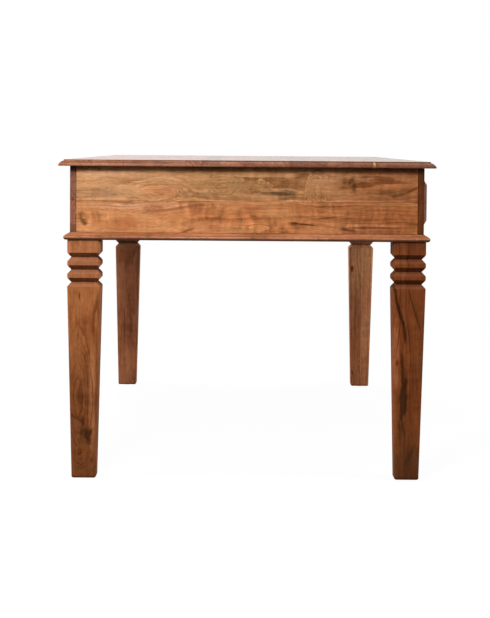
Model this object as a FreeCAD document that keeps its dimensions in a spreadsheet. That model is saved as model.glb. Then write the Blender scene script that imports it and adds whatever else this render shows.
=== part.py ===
import FreeCAD, Part
import math
import os
import re
import Sketcher

# Writing desk with three drawers: X runs along the desk, the drawers face -Y, +Z is up.
# The origin is on the floor under the middle of the top.

SIZES = {
    # whole desk
    "desk_length": 1800,
    "desk_depth": 900,
    "desk_height": 770,
    # moulded top
    "top_thickness": 15.5,
    "top_overhang": 26,
    "top_quirk": 2.5,
    "top_slope_reach": 12.5,
    "top_slope_radius": 19,
    "top_nose_radius": 2.5,
    # moulded base frame under the case
    "base_thickness": 17.5,
    "base_overhang": 14.5,
    "base_width": 112,
    "base_quirk": 1,
    "base_slope_reach": 13,
    "base_slope_radius": 30,
    "base_nose_height": 8,
    "base_nose_flat": 1.5,
    "base_undercut_reach": 8.5,
    # case
    "case_height": 159,
    "end_thickness": 15,
    "back_thickness": 15,
    "lower_board_height": 76,
    "partition_thickness": 18,
    "arris": 0.8,
    # front face frame
    "frame_thickness": 15,
    "end_stile_width": 75,
    "mid_stile_width": 70,
    "top_rail_height": 39.5,
    "bottom_rail_height": 29.5,
    "rail_tenon_length": 20,
    "mid_tenon_length": 12,
    "tenon_thickness": 6,
    "tenon_shoulder": 5,
    # legs
    "leg_width": 80,
    "leg_proud": 6,
    "leg_arris": 6,
    "foot_width": 58.4,
    "foot_arris": 4.5,
    "foot_chamfer": 2.5,
    "block_height": 31.3,
    "groove_depth": 9.6,
    "bevel_height": 10.6,
    "ring_flat": 8.9,
    "glide_radius": 15,
    "glide_thickness": 2,
    # leg bolts, two to a leg, one on each side of the mitre
    "bolt_radius": 4,
    "bolt_length": 70,
    "bolt_near_inset": 28,
    "bolt_far_inset": 56,
    "bolt_head_width": 13,
    "bolt_head_height": 5.3,
    "bolt_bore_clearance": 0.5,
    "bolt_thread_clearance": 0.1,
    "washer_radius": 9,
    "washer_thickness": 1.6,
    # drawer runners and kickers
    "runner_thickness": 16,
    "runner_ledge": 14,
    "guide_thickness": 18,
    "guide_height": 22,
    "kicker_width": 45,
    # screws of the top
    "screw_radius": 2.3,
    "screw_head_radius": 4.6,
    "screw_head_height": 3,
    "screw_length": 50,
    "screw_pitch": 290,
    "screw_clearance": 0.1,
    # drawers
    "drawer_depth": 600,
    "drawer_clearance": 1.5,
    "drawer_headroom": 2.5,
    "drawer_side_thickness": 12,
    "drawer_back_thickness": 12,
    "drawer_bottom_thickness": 5,
    "drawer_bottom_rise": 9,
    "drawer_groove_depth": 5,
    "drawer_groove_clearance": 0.3,
    # lipped and bevelled drawer fronts
    "lip_overlap": 8,
    "lip_thickness": 7,
    "bevel_width": 10,
    "field_rise": 7,
    "tongue_depth": 11,
    # knobs
    "knob_projection": 22,
    "knob_head_radius": 14,
    "knob_rim_height": 4,
    "knob_face_bevel": 3,
    "knob_stem_radius": 6,
    "knob_stem_height": 4,
    "knob_rose_radius": 11,
    "knob_rose_height": 2.5,
    "knob_bore_depth": 13,
    "knob_screw_radius": 2,
    "knob_screw_head_radius": 4.2,
    "knob_screw_head_height": 3,
    "knob_screw_clearance": 0.1,
    # surplus of blanks and cutters, which the finished pieces don't show
    "overrun": 5,
}

BAYS = ("left", "centre", "right")
ENDS = {"left": -1, "right": 1}
SIDES = {"front": -1, "back": 1}
GROOVES_PER_LEG = 3
SCREW_ROWS = (-1, 0, 1)

# Formulas that several pieces share, in the names of the sizes above
case_half_length = "(desk_length / 2 - top_overhang)"
case_half_depth = "(desk_depth / 2 - top_overhang)"
case_top = "(desk_height - top_thickness)"
case_bottom = f"({case_top} - case_height)"
leg_height = f"({case_bottom} - base_thickness)"
base_half_length = f"({case_half_length} + base_overhang)"
base_half_depth = f"({case_half_depth} + base_overhang)"
frame_back = f"({case_half_depth} - frame_thickness)"
back_inside = f"({case_half_depth} - back_thickness)"
inside_depth = f"({frame_back} + {back_inside})"
inside_middle = f"(({back_inside} - {frame_back}) / 2)"
stiles_width = f"(2 * end_stile_width + {len(BAYS) - 1} * mid_stile_width)"
bay_width = f"((2 * {case_half_length} - {stiles_width}) / {len(BAYS)})"
bay_pitch = f"({bay_width} + mid_stile_width)"
opening_bottom = f"({case_bottom} + bottom_rail_height)"
opening_top = f"({case_top} - top_rail_height)"
opening_height = f"({opening_top} - {opening_bottom})"
leg_centre_x = f"({case_half_length} + leg_proud - leg_width / 2)"
leg_centre_y = f"({case_half_depth} + leg_proud - leg_width / 2)"
groove_pitch = "(2 * bevel_height + ring_flat)"
shaft_top = f"({leg_height} - block_height - {GROOVES_PER_LEG} * {groove_pitch} + ring_flat)"
drawer_half_width = f"({bay_width} / 2 - drawer_clearance)"
drawer_inner_width = f"(2 * ({drawer_half_width} - drawer_side_thickness))"
drawer_side_height = f"({opening_height} - drawer_headroom)"
front_proud = "(lip_thickness + field_rise)"

doc = FreeCAD.newDocument("writing_desk")
sheet = doc.addObject("Spreadsheet::Sheet", "sizes")
for row, (alias, size) in enumerate(SIZES.items(), start=1):
    sheet.set(f"A{row}", alias)
    sheet.set(f"B{row}", str(size))
    sheet.setAlias(f"B{row}", alias)
doc.recompute()

pieces = []


# Names in a formula become references to the sheet's cells
def cells(formula):
    return re.sub(r"[a-z_]+", lambda word: f"sizes.{word[0]}" if word[0] in SIZES else word[0], formula)


def value_of(formula):
    return float(sheet.evalExpression(cells(formula)))


def bind(item, **formulas):
    for key, formula in formulas.items():
        item.setExpression(key, cells(formula))


def place(item, x="0", y="0", z="0"):
    for axis, formula in zip("xyz", (x, y, z)):
        item.setExpression(f"Placement.Base.{axis}", cells(formula))


def new_body(label, x="0", y="0", z="0"):
    body = doc.addObject("PartDesign::Body", label)
    body.Label = label
    place(body, x, y, z)
    pieces.append(body)
    return body


def add_feature(body, kind, **formulas):
    feature = body.newObject(f"PartDesign::{kind}", kind.lower())
    bind(feature, **formulas)
    return feature


# A block inside a body, given by its middle and its three sizes
def block(body, kind, middle, size):
    box = add_feature(body, kind, Length=size[0], Width=size[1], Height=size[2])
    place(box, *(f"({centre}) - ({side}) / 2" for centre, side in zip(middle, size)))
    return box


def sketch_on(body, plane, offset="0"):
    sketch = body.newObject("Sketcher::SketchObject", "sketch")
    sketch.AttachmentSupport = [(part, "") for part in body.Origin.OriginFeatures if part.Role == plane]
    sketch.MapMode = "FlatFace"
    sketch.setExpression("AttachmentOffset.Base.z", cells(offset))
    return sketch


def fix_point(sketch, geometry, end, x, y):
    for kind, formula in (("DistanceX", x), ("DistanceY", y)):
        index = sketch.addConstraint(Sketcher.Constraint(kind, -1, 1, geometry, end, value_of(formula)))
        sketch.setExpression(f"Constraints[{index}]", cells(formula))


# The middle of the short arc from start to end, whose centre lies to the left or right of that way
def arc_middle(start, end, radius, centre_on_left):
    chord = end - start
    half = chord.Length / 2
    height = radius - math.sqrt(max(radius**2 - half**2, 0))
    left = FreeCAD.Vector(-chord.y, chord.x, 0).normalize()
    return (start + end) / 2 - left * (height if centre_on_left else -height)


# A closed outline through corners; rounds holds the radius formula of each round stretch and its side,
# by the number of the corner where it starts
def outline(sketch, corners, rounds=None):
    rounds = rounds or {}
    points = [FreeCAD.Vector(value_of(x), value_of(y), 0) for x, y in corners]
    stretches = []
    for number, start in enumerate(points):
        end = points[(number + 1) % len(points)]
        if number in rounds:
            radius, centre_on_left = rounds[number]
            middle = arc_middle(start, end, value_of(radius), centre_on_left)
            geometry = sketch.addGeometry(Part.Arc(start, middle, end))
            ends = (1, 2) if centre_on_left else (2, 1)
            index = sketch.addConstraint(Sketcher.Constraint("Radius", geometry, value_of(radius)))
            sketch.setExpression(f"Constraints[{index}]", cells(radius))
        else:
            geometry = sketch.addGeometry(Part.LineSegment(start, end))
            ends = (1, 2)
        stretches.append((geometry, ends))
    for number, (geometry, ends) in enumerate(stretches):
        after, after_ends = stretches[(number + 1) % len(stretches)]
        sketch.addConstraint(Sketcher.Constraint("Coincident", geometry, ends[1], after, after_ends[0]))
        fix_point(sketch, geometry, ends[0], *corners[number])


def circle(sketch, x, y, radius):
    centre = FreeCAD.Vector(value_of(x), value_of(y), 0)
    geometry = sketch.addGeometry(Part.Circle(centre, FreeCAD.Vector(0, 0, 1), value_of(radius)))
    index = sketch.addConstraint(Sketcher.Constraint("Radius", geometry, value_of(radius)))
    sketch.setExpression(f"Constraints[{index}]", cells(radius))
    fix_point(sketch, geometry, 3, x, y)


def rectangle(half_width, half_height):
    return [
        (f"-{half_width}", f"-{half_height}"),
        (half_width, f"-{half_height}"),
        (half_width, half_height),
        (f"-{half_width}", half_height),
    ]


def pad(body, sketch, length, symmetric=False):
    feature = add_feature(body, "Pad", Length=length)
    feature.Profile = sketch
    feature.SideType = "Symmetric" if symmetric else "One side"
    return feature


def cut_through(body, sketch):
    feature = add_feature(body, "Pocket")
    feature.Profile = sketch
    feature.Type = "ThroughAll"
    feature.SideType = "Symmetric"
    return feature


def cut_down(body, sketch, depth):
    feature = add_feature(body, "Pocket", Length=depth)
    feature.Profile = sketch
    return feature


def loft(body, first, last):
    feature = add_feature(body, "AdditiveLoft")
    feature.Profile = first
    feature.Sections = [last]
    feature.Ruled = True
    return feature


# A sawn board with eased edges, given by its middle and its sizes
def board(label, middle, size):
    body = new_body(label, *middle)
    blank = block(body, "AdditiveBox", ("0", "0", "0"), size)
    doc.recompute()
    easing = add_feature(body, "Chamfer", Size="arris")
    easing.Base = (blank, [""])
    easing.UseAllEdges = True
    return body


def mirrored(label, source, normal):
    copy = doc.addObject("Part::Mirroring", label)
    copy.Label = label
    copy.Source = source
    copy.Normal = FreeCAD.Vector(*normal)
    pieces.append(copy)
    return copy


def group(label, members):
    compound = doc.addObject("Part::Compound", label)
    compound.Label = label
    compound.Links = members
    pieces.append(compound)
    return compound


def primitive(kind, x, y, z, **formulas):
    shape = doc.addObject(f"Part::{kind}", kind.lower())
    bind(shape, **formulas)
    place(shape, x, y, z)
    return shape


def joined(kind, base, tool):
    result = doc.addObject(f"Part::{kind}", kind.lower())
    result.Base = base
    result.Tool = tool
    return result


# What the cutter takes off the edge of the top, on the side that the sign gives: a small upright quirk,
# a rounded slope and the underside of the nose
def edge_waste(half, sign):
    inner = f"{sign} * ({half} - top_slope_reach)"
    under = f"{sign} * ({half} - top_nose_radius)"
    outside = f"{sign} * ({half} + 2 * overrun)"
    above = "top_thickness + overrun"
    return [
        (inner, above),
        (inner, "top_thickness - top_quirk"),
        (f"{sign} * {half}", "top_nose_radius"),
        (under, "0"),
        (under, "-overrun"),
        (outside, "-overrun"),
        (outside, above),
    ]


def make_top():
    body = new_body("desk_top", z=case_top)
    blank = sketch_on(body, "XY_Plane")
    outline(blank, rectangle("(desk_length / 2 + overrun)", "(desk_depth / 2 + overrun)"))
    pad(body, blank, "top_thickness")
    for plane, half in (("XZ_Plane", "(desk_length / 2)"), ("YZ_Plane", "(desk_depth / 2)")):
        moulding = sketch_on(body, plane)
        for sign in ENDS.values():
            rounds = {1: ("top_slope_radius", sign < 0), 2: ("top_nose_radius", sign < 0)}
            outline(moulding, edge_waste(half, sign), rounds)
        cut_through(body, moulding)
    pilot_depth = "(screw_length - top_rail_height)"
    pilots = sketch_on(body, "XY_Plane")
    for bay in range(len(BAYS)):
        for row in SCREW_ROWS:
            circle(pilots, bay_centre(bay), screw_place(row), "(screw_radius + screw_clearance)")
    drilled = cut_down(body, pilots, pilot_depth)
    drilled.Reversed = True


def bay_centre(bay):
    return f"({bay - (len(BAYS) - 1) / 2} * {bay_pitch})"


def screw_place(row):
    return f"({inside_middle} + {row} * screw_pitch)"


# One mitred moulding of the base frame, with a nose between a sloped upper side and a rounded underside;
# its outer edge looks along the negative cross axis
def base_moulding(label, plane, half_across, half_along, swap):
    body = new_body(label, z=leg_height)
    profile = sketch_on(body, plane)
    rise = "(base_nose_height - base_nose_flat)"
    undercut_radius = f"((base_undercut_reach ^ 2 + {rise} ^ 2) / (2 * base_undercut_reach))"
    outline(
        profile,
        [
            (f"base_width - {half_across}", "0"),
            (f"base_undercut_reach - {half_across}", "0"),
            (f"-{half_across}", rise),
            (f"-{half_across}", "base_nose_height"),
            (f"base_slope_reach - {half_across}", "base_thickness - base_quirk"),
            (f"base_slope_reach - {half_across}", "base_thickness"),
            (f"base_width - {half_across}", "base_thickness"),
        ],
        {1: (undercut_radius, False), 3: ("base_slope_radius", False)},
    )
    pad(body, profile, f"2 * ({half_along} + overrun)", symmetric=True)
    mitres = sketch_on(body, "XY_Plane")
    holes = sketch_on(body, "XY_Plane")
    turn = (lambda along, across: (across, along)) if swap else (lambda along, across: (along, across))
    for sign in ENDS.values():
        outline(
            mitres,
            [
                turn(f"{sign} * ({half_along} + 2 * overrun)", f"-{half_across} - 2 * overrun"),
                turn(
                    f"{sign} * ({half_along} - base_width - overrun)",
                    f"base_width + overrun - {half_across}",
                ),
                turn(f"{sign} * ({half_along} + 2 * overrun)", f"base_width + overrun - {half_across}"),
            ],
        )
        along = f"{sign} * ({half_along} - base_overhang - bolt_far_inset)"
        across = f"base_overhang + bolt_near_inset - {half_across}"
        circle(holes, *turn(along, across), "bolt_radius + bolt_bore_clearance")
    cut_through(body, mitres)
    cut_through(body, holes)
    return body


def make_base():
    front = base_moulding("base_front_moulding", "YZ_Plane", base_half_depth, base_half_length, False)
    left = base_moulding("base_left_moulding", "XZ_Plane", base_half_length, base_half_depth, True)
    mirrored("base_back_moulding", front, (0, 1, 0))
    mirrored("base_right_moulding", left, (1, 0, 0))


def make_case():
    end_middle = f"({case_half_length} - end_thickness / 2)"
    back_middle = f"({case_half_depth} - back_thickness / 2)"
    levels = {
        "lower": ("lower_board_height", f"{case_bottom} + lower_board_height / 2"),
        "upper": (
            "(case_height - lower_board_height)",
            f"({case_top} + {case_bottom} + lower_board_height) / 2",
        ),
    }
    for level, (height, middle) in levels.items():
        for end, sign in ENDS.items():
            board(
                f"{end}_end_{level}_board",
                (f"{sign} * {end_middle}", inside_middle, middle),
                ("end_thickness", inside_depth, height),
            )
        board(
            f"back_{level}_board",
            ("0", back_middle, middle),
            (f"2 * {case_half_length}", "back_thickness", height),
        )
    for end, sign in ENDS.items():
        board(
            f"{end}_partition",
            (f"{sign} * {bay_pitch} / 2", inside_middle, f"({case_bottom} + {case_top}) / 2"),
            ("partition_thickness", inside_depth, "case_height"),
        )


def make_face_frame():
    face_middle = f"(frame_thickness / 2 - {case_half_depth})"
    inner_length = f"(2 * ({case_half_length} - end_stile_width))"
    rails = {
        "bottom": ("bottom_rail_height", f"({case_bottom} + bottom_rail_height / 2)"),
        "top": ("top_rail_height", f"({case_top} - top_rail_height / 2)"),
    }
    mid_places = [f"({sign} * {bay_pitch} / 2)" for sign in ENDS.values()]
    mid_tenon = ("mid_stile_width - 2 * tenon_shoulder", "tenon_thickness", "mid_tenon_length")
    opening_middle = f"({opening_bottom} + {opening_height} / 2)"
    case_middle = f"({case_bottom} + case_height / 2)"

    for name, (height, middle) in rails.items():
        rail = board(
            f"front_{name}_rail",
            ("0", face_middle, middle),
            (inner_length, "frame_thickness", height),
        )
        tenon_span = f"{inner_length} + 2 * rail_tenon_length"
        tenon_height = f"{height} - 2 * tenon_shoulder"
        block(rail, "AdditiveBox", ("0", "0", "0"), (tenon_span, "tenon_thickness", tenon_height))
        edge = f"{height} / 2" if name == "bottom" else f"-{height} / 2"
        depth = "-mid_tenon_length / 2" if name == "bottom" else "mid_tenon_length / 2"
        for place_x in mid_places:
            block(rail, "SubtractiveBox", (place_x, "0", f"{edge} + {depth}"), mid_tenon)

    for end, sign in ENDS.items():
        stile = board(
            f"front_{end}_end_stile",
            (f"{sign} * ({case_half_length} - end_stile_width / 2)", face_middle, case_middle),
            ("end_stile_width", "frame_thickness", "case_height"),
        )
        for height, middle in rails.values():
            mortise_middle = f"{-sign} * (end_stile_width - rail_tenon_length) / 2"
            mortise = ("rail_tenon_length", "tenon_thickness", f"{height} - 2 * tenon_shoulder")
            block(stile, "SubtractiveBox", (mortise_middle, "0", f"{middle} - {case_middle}"), mortise)

    for (end, sign), place_x in zip(ENDS.items(), mid_places):
        mid = board(
            f"front_{end}_mid_stile",
            (place_x, face_middle, opening_middle),
            ("mid_stile_width", "frame_thickness", opening_height),
        )
        length = f"{opening_height} + 2 * mid_tenon_length"
        block(mid, "AdditiveBox", ("0", "0", "0"), (*mid_tenon[:2], length))


# A square with its four corners taken off
def eased_square(half, corner):
    flat = f"({half} - {corner})"
    quarter = [(half, f"-{flat}"), (half, flat), (flat, half), (f"-{flat}", half)]
    return quarter + [(f"-({x})", f"-({y})") for x, y in quarter]


# The V grooves on both edges of one face pair, from the block down to the shaft
def groove_cuts(sketch):
    half = "(leg_width / 2)"
    for number in range(GROOVES_PER_LEG):
        middle = f"({leg_height} - block_height - bevel_height - {number} * {groove_pitch})"
        for sign in ENDS.values():
            outside = f"{sign} * ({half} + overrun)"
            outline(
                sketch,
                [
                    (f"{sign} * {half}", f"{middle} + bevel_height"),
                    (f"{sign} * ({half} - groove_depth)", middle),
                    (f"{sign} * {half}", f"{middle} - bevel_height"),
                    (outside, f"{middle} - bevel_height"),
                    (outside, f"{middle} + bevel_height"),
                ],
            )


def make_legs():
    body = new_body("front_left_leg", f"-{leg_centre_x}", f"-{leg_centre_y}")
    blank = sketch_on(body, "XY_Plane", shaft_top)
    outline(blank, eased_square("(leg_width / 2)", "leg_arris"))
    pad(body, blank, f"{leg_height} - {shaft_top}")
    shaft = sketch_on(body, "XY_Plane", shaft_top)
    outline(shaft, eased_square("(leg_width / 2)", "leg_arris"))
    foot = sketch_on(body, "XY_Plane", "glide_thickness")
    outline(foot, eased_square("(foot_width / 2)", "foot_arris"))
    tapered = loft(body, shaft, foot)
    doc.recompute()
    faces = tapered.Shape.Faces
    lowest = min(range(len(faces)), key=lambda number: faces[number].CenterOfMass.z)
    easing = add_feature(body, "Chamfer", Size="foot_chamfer")
    easing.Base = (tapered, [f"Face{lowest + 1}"])
    for plane in ("XZ_Plane", "YZ_Plane"):
        grooves = sketch_on(body, plane)
        groove_cuts(grooves)
        cut_through(body, grooves)
    bores = sketch_on(body, "XY_Plane", leg_height)
    for inset_x, inset_y in bolt_insets():
        circle(
            bores,
            f"{leg_centre_x} - {case_half_length} + {inset_x}",
            f"{leg_centre_y} - {case_half_depth} + {inset_y}",
            "bolt_radius + bolt_thread_clearance",
        )
    cut_down(body, bores, "bolt_length - base_thickness")
    right = mirrored("front_right_leg", body, (1, 0, 0))
    mirrored("back_left_leg", body, (0, 1, 0))
    mirrored("back_right_leg", right, (0, 1, 0))


def bolt_insets():
    return (("bolt_far_inset", "bolt_near_inset"), ("bolt_near_inset", "bolt_far_inset"))


def corners():
    return [(end, side) for end in ENDS.values() for side in SIDES.values()]


def make_leg_hardware():
    bolts = []
    washers = []
    glides = []
    washer_top = f"{case_bottom} + washer_thickness"
    for end, side in corners():
        glides.append(
            primitive(
                "Cylinder",
                f"{end} * {leg_centre_x}",
                f"{side} * {leg_centre_y}",
                "0",
                Radius="glide_radius",
                Height="glide_thickness",
            )
        )
        for inset_x, inset_y in bolt_insets():
            x = f"{end} * ({case_half_length} - {inset_x})"
            y = f"{side} * ({case_half_depth} - {inset_y})"
            shank = primitive(
                "Cylinder",
                x,
                y,
                f"{case_bottom} - bolt_length",
                Radius="bolt_radius",
                Height="bolt_length + washer_thickness",
            )
            head = primitive(
                "Prism",
                x,
                y,
                washer_top,
                Circumradius="bolt_head_width / sqrt(3)",
                Height="bolt_head_height",
            )
            bolts.append(joined("Fuse", shank, head))
            disc = primitive(
                "Cylinder", x, y, case_bottom, Radius="washer_radius", Height="washer_thickness"
            )
            hole = primitive(
                "Cylinder",
                x,
                y,
                case_bottom,
                Radius="bolt_radius + bolt_bore_clearance",
                Height="washer_thickness",
            )
            washers.append(joined("Cut", disc, hole))
    group("leg_bolts", bolts)
    group("leg_bolt_washers", washers)
    group("leg_glides", glides)


# A rebated runner: a ledge that carries the drawer's side and a guide strip beside it.
# It runs from the wall that carries it, given by its distance from the bay's edge.
def runner(label, edge, inward, wall_gap):
    body = new_body(label, edge, f"-{frame_back}", opening_bottom)
    profile = sketch_on(body, "XZ_Plane")
    outline(
        profile,
        [
            (f"{-inward} * {wall_gap}", "-runner_thickness"),
            (f"{inward} * runner_ledge", "-runner_thickness"),
            (f"{inward} * runner_ledge", "0"),
            ("0", "0"),
            ("0", "guide_height"),
            (f"{-inward} * guide_thickness", "guide_height"),
            (f"{-inward} * guide_thickness", "0"),
            (f"{-inward} * {wall_gap}", "0"),
        ],
    )
    length = pad(body, profile, inside_depth)
    length.Reversed = True


def make_runners():
    end_gap = "(end_stile_width - end_thickness)"
    mid_gap = "((mid_stile_width - partition_thickness) / 2)"
    for bay, name in enumerate(BAYS):
        for end, sign in ENDS.items():
            edge = f"({bay_centre(bay)} + {sign} * {bay_width} / 2)"
            runner(f"{name}_bay_{end}_runner", edge, -sign, end_gap if name == end else mid_gap)


def make_kickers():
    screws = []
    for bay, name in enumerate(BAYS):
        middle = (bay_centre(bay), inside_middle, f"({opening_top} + top_rail_height / 2)")
        kicker = board(f"{name}_bay_kicker", middle, ("kicker_width", inside_depth, "top_rail_height"))
        for row in SCREW_ROWS:
            hole = add_feature(
                kicker,
                "SubtractiveCylinder",
                Radius="screw_radius + screw_clearance",
                Height="top_rail_height",
            )
            place(hole, "0", f"{row} * screw_pitch", "-top_rail_height / 2")
            sink = add_feature(
                kicker,
                "SubtractiveCone",
                Radius1="screw_head_radius + screw_clearance",
                Radius2="screw_radius + screw_clearance",
                Height="screw_head_height",
            )
            place(sink, "0", f"{row} * screw_pitch", "-top_rail_height / 2")
            head = primitive(
                "Cone",
                bay_centre(bay),
                screw_place(row),
                opening_top,
                Radius1="screw_head_radius",
                Radius2="screw_radius",
                Height="screw_head_height",
            )
            shank = primitive(
                "Cylinder",
                bay_centre(bay),
                screw_place(row),
                f"{opening_top} + screw_head_height",
                Radius="screw_radius",
                Height="screw_length - screw_head_height",
            )
            screws.append(joined("Fuse", head, shank))
    group("top_screws", screws)


# A drawer front seen from its bay: a lip that closes on the face frame, a bevel that rises to the
# raised field, and a tongue behind that fits between the drawer's sides
def drawer_front(label, centre):
    body = new_body(label, centre, f"-{case_half_depth}", f"({opening_bottom} + {opening_height} / 2)")
    half_width = f"({bay_width} / 2 + lip_overlap)"
    half_height = f"({opening_height} / 2 + lip_overlap)"
    lip = sketch_on(body, "XZ_Plane")
    outline(lip, rectangle(half_width, half_height))
    pad(body, lip, "lip_thickness")
    edge = sketch_on(body, "XZ_Plane", "lip_thickness")
    outline(edge, rectangle(half_width, half_height))
    field = sketch_on(body, "XZ_Plane", front_proud)
    outline(field, rectangle(f"({half_width} - bevel_width)", f"({half_height} - bevel_width)"))
    loft(body, edge, field)
    tongue = sketch_on(body, "XZ_Plane")
    outline(tongue, rectangle(f"({drawer_inner_width} / 2)", f"({opening_height} / 2 - drawer_clearance)"))
    backing = pad(body, tongue, "tongue_depth")
    backing.Reversed = True
    block(
        body,
        "SubtractiveBox",
        (
            "0",
            "tongue_depth - drawer_groove_depth / 2",
            f"drawer_bottom_rise + (drawer_bottom_thickness - {opening_height}) / 2",
        ),
        (drawer_inner_width, "drawer_groove_depth", "drawer_bottom_thickness"),
    )
    hole = sketch_on(body, "XZ_Plane")
    circle(hole, "0", "0", "knob_screw_radius + knob_screw_clearance")
    cut_through(body, hole)


def drawer_box(name, centre):
    start = f"-{case_half_depth}"
    side_middle = f"({drawer_half_width} - drawer_side_thickness / 2)"
    floor_top = "(drawer_bottom_rise + drawer_bottom_thickness)"
    back_height = f"({drawer_side_height} - {floor_top})"
    for end, sign in ENDS.items():
        side = board(
            f"{name}_drawer_{end}_side",
            (
                f"{centre} + {sign} * {side_middle}",
                f"{start} + drawer_depth / 2",
                f"{opening_bottom} + {drawer_side_height} / 2",
            ),
            ("drawer_side_thickness", "drawer_depth", drawer_side_height),
        )
        block(
            side,
            "SubtractiveBox",
            (
                f"{-sign} * (drawer_side_thickness - drawer_groove_depth) / 2",
                "0",
                f"drawer_bottom_rise + (drawer_bottom_thickness - {drawer_side_height}) / 2",
            ),
            ("drawer_groove_depth", "drawer_depth", "drawer_bottom_thickness"),
        )
    board(
        f"{name}_drawer_back",
        (
            centre,
            f"{start} + drawer_depth - drawer_back_thickness / 2",
            f"{opening_bottom} + {floor_top} + {back_height} / 2",
        ),
        (drawer_inner_width, "drawer_back_thickness", back_height),
    )
    floor_start = "(tongue_depth - drawer_groove_depth + drawer_groove_clearance)"
    board(
        f"{name}_drawer_bottom",
        (
            centre,
            f"{start} + (drawer_depth + {floor_start}) / 2",
            f"{opening_bottom} + drawer_bottom_rise + drawer_bottom_thickness / 2",
        ),
        (
            f"{drawer_inner_width} + 2 * (drawer_groove_depth - drawer_groove_clearance)",
            f"drawer_depth - {floor_start}",
            "drawer_bottom_thickness",
        ),
    )


# A turned knob: the profile runs from its rose over the stem and the flared head to the axis
def drawer_knob(name, centre):
    middle = f"({opening_bottom} + {opening_height} / 2)"
    face = f"-({case_half_depth} + {front_proud})"
    body = new_body(f"{name}_drawer_knob", centre, face, middle)
    bore = "(knob_screw_radius + knob_screw_clearance)"
    rim = "(knob_projection - knob_face_bevel)"
    profile = sketch_on(body, "XY_Plane")
    outline(
        profile,
        [
            (bore, "0"),
            ("knob_rose_radius", "0"),
            ("knob_rose_radius", "-knob_rose_height / 2"),
            ("knob_stem_radius", "-knob_rose_height"),
            ("knob_stem_radius", "-(knob_rose_height + knob_stem_height)"),
            ("knob_head_radius", f"-({rim} - knob_rim_height)"),
            ("knob_head_radius", f"-{rim}"),
            ("knob_head_radius - knob_face_bevel", "-knob_projection"),
            ("0", "-knob_projection"),
            ("0", "-knob_bore_depth"),
            (bore, "-knob_bore_depth"),
        ],
    )
    turned = add_feature(body, "Revolution")
    turned.Profile = profile
    turned.ReferenceAxis = (profile, ["V_Axis"])

    head = primitive(
        "Cylinder", "0", "0", "0", Radius="knob_screw_head_radius", Height="knob_screw_head_height"
    )
    grip = f"({front_proud} + tongue_depth + knob_bore_depth - knob_screw_clearance)"
    shank = primitive(
        "Cylinder", "0", "0", "knob_screw_head_height", Radius="knob_screw_radius", Height=grip
    )
    screw = joined("Fuse", head, shank)
    screw.Label = f"{name}_drawer_knob_screw"
    screw.Placement.Rotation = FreeCAD.Rotation(FreeCAD.Vector(0, 0, 1), FreeCAD.Vector(0, -1, 0))
    place(screw, centre, f"tongue_depth + knob_screw_head_height - {case_half_depth}", middle)
    pieces.append(screw)


def make_drawers():
    for bay, name in enumerate(BAYS):
        drawer_front(f"{name}_drawer_front", bay_centre(bay))
        drawer_box(name, bay_centre(bay))
        drawer_knob(name, bay_centre(bay))


def write_pieces():
    doc.recompute()
    failed = [item.Name for item in doc.Objects if {"Invalid", "Error"} & set(item.State)]
    broken = [piece.Label for piece in pieces if piece.Shape.isNull() or not piece.Shape.isValid()]
    if failed or broken:
        raise RuntimeError(f"failed features {failed}, broken pieces {broken}")
    os.makedirs("parts", exist_ok=True)
    for piece in pieces:
        piece.Shape.exportStep(f"parts/{piece.Label}.step")
        box = piece.Shape.BoundBox
        print(
            f"{piece.Label}: {len(piece.Shape.Solids)} solids, {piece.Shape.Volume / 1000:.1f} cm3,"
            f" {box.XLength:.1f} x {box.YLength:.1f} x {box.ZLength:.1f}"
        )


make_top()
make_case()
make_face_frame()
make_base()
make_legs()
make_leg_hardware()
make_runners()
make_kickers()
make_drawers()
write_pieces()
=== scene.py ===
import math
import bpy
from mathutils import Euler, Matrix, Vector


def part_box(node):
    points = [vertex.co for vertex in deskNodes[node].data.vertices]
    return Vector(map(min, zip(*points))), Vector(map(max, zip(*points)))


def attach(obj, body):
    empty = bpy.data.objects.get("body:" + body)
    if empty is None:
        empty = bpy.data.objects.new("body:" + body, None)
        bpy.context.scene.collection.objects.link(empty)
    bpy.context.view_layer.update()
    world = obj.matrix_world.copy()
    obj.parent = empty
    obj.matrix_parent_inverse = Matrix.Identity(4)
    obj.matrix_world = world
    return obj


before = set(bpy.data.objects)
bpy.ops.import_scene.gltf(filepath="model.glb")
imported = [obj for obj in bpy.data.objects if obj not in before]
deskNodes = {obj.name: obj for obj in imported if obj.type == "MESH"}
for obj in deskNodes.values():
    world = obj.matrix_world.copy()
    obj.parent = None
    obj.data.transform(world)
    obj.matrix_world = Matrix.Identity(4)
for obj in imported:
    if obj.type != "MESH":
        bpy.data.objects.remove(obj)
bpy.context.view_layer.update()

bays = ("left", "centre", "right")
scene = bpy.context.scene
scene.view_settings.view_transform = "Standard"
print("frame loaded:", len(deskNodes), "pieces")


# a colour as the eye reads it, 0-255, into Blender's linear values by the screen's curve
def tone(red, green, blue):
    def linear(value):
        value /= 255
        return value / 12.92 if value <= 0.04045 else ((value + 0.055) / 1.055) ** 2.4
    return (linear(red), linear(green), linear(blue), 1.0)


# ways a board can lie, in degrees: its own x runs with the grain, y across its wide face, z into it
grainTurn = {
    "lengthwiseFlat": (0, 0, 0),
    "lengthwiseUpright": (90, 0, 0),
    "crosswiseFlat": (0, 0, 90),
    "crosswiseUpright": (90, 0, 90),
    "standing": (0, -90, 0),
    "standingFront": (0, -90, 90),
}


def put(tree, socket, value):
    if isinstance(value, bpy.types.NodeSocket):
        tree.links.new(value, socket)
    elif value is not None:
        socket.default_value = value


def addNode(tree, kind, inputs=None, **settings):
    node = tree.nodes.new(kind)
    for name, value in settings.items():
        setattr(node, name, value)
    for name, value in (inputs or {}).items():
        put(tree, node.inputs[name], value)
    return node


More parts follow.
